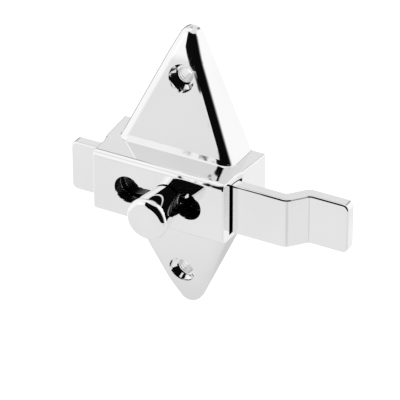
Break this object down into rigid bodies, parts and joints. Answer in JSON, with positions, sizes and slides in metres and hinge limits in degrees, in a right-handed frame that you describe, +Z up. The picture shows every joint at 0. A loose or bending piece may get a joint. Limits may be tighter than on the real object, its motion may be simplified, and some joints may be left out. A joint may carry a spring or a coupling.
{
  "type": "slide bolt latch",
  "caption": "Slide bolt latch with a diamond-shaped cast body, a bridge over a cranked flat bolt and a round knob in a dumbbell slot.",
  "frame": {"origin": "midway between the two fixing holes, on the back face that lies on the door", "axes": "+X along the bolt towards its tip, +Y into the door, +Z up from the lower fixing hole to the upper one"},
  "size_m": [0.0948, 0.038, 0.1],
  "materials": {
    "chromed_zinc": "polished",
    "zinc_plated_steel": "satin",
    "spring_steel": "satin"
  },
  "bodies": {
    "casing": {"housing": "chromed_zinc"},
    "sliding_bolt": {"bolt": "chromed_zinc", "knob": "chromed_zinc", "knob_screw": "zinc_plated_steel", "leaf_spring": "spring_steel"}
  },
  "joints": [
    {"name": "bolt_slide", "type": "slide", "parent": "casing", "child": "sliding_bolt", "axis": [1, 0, 0], "range_m": [-0.01415, 0.00735]}
  ]
}
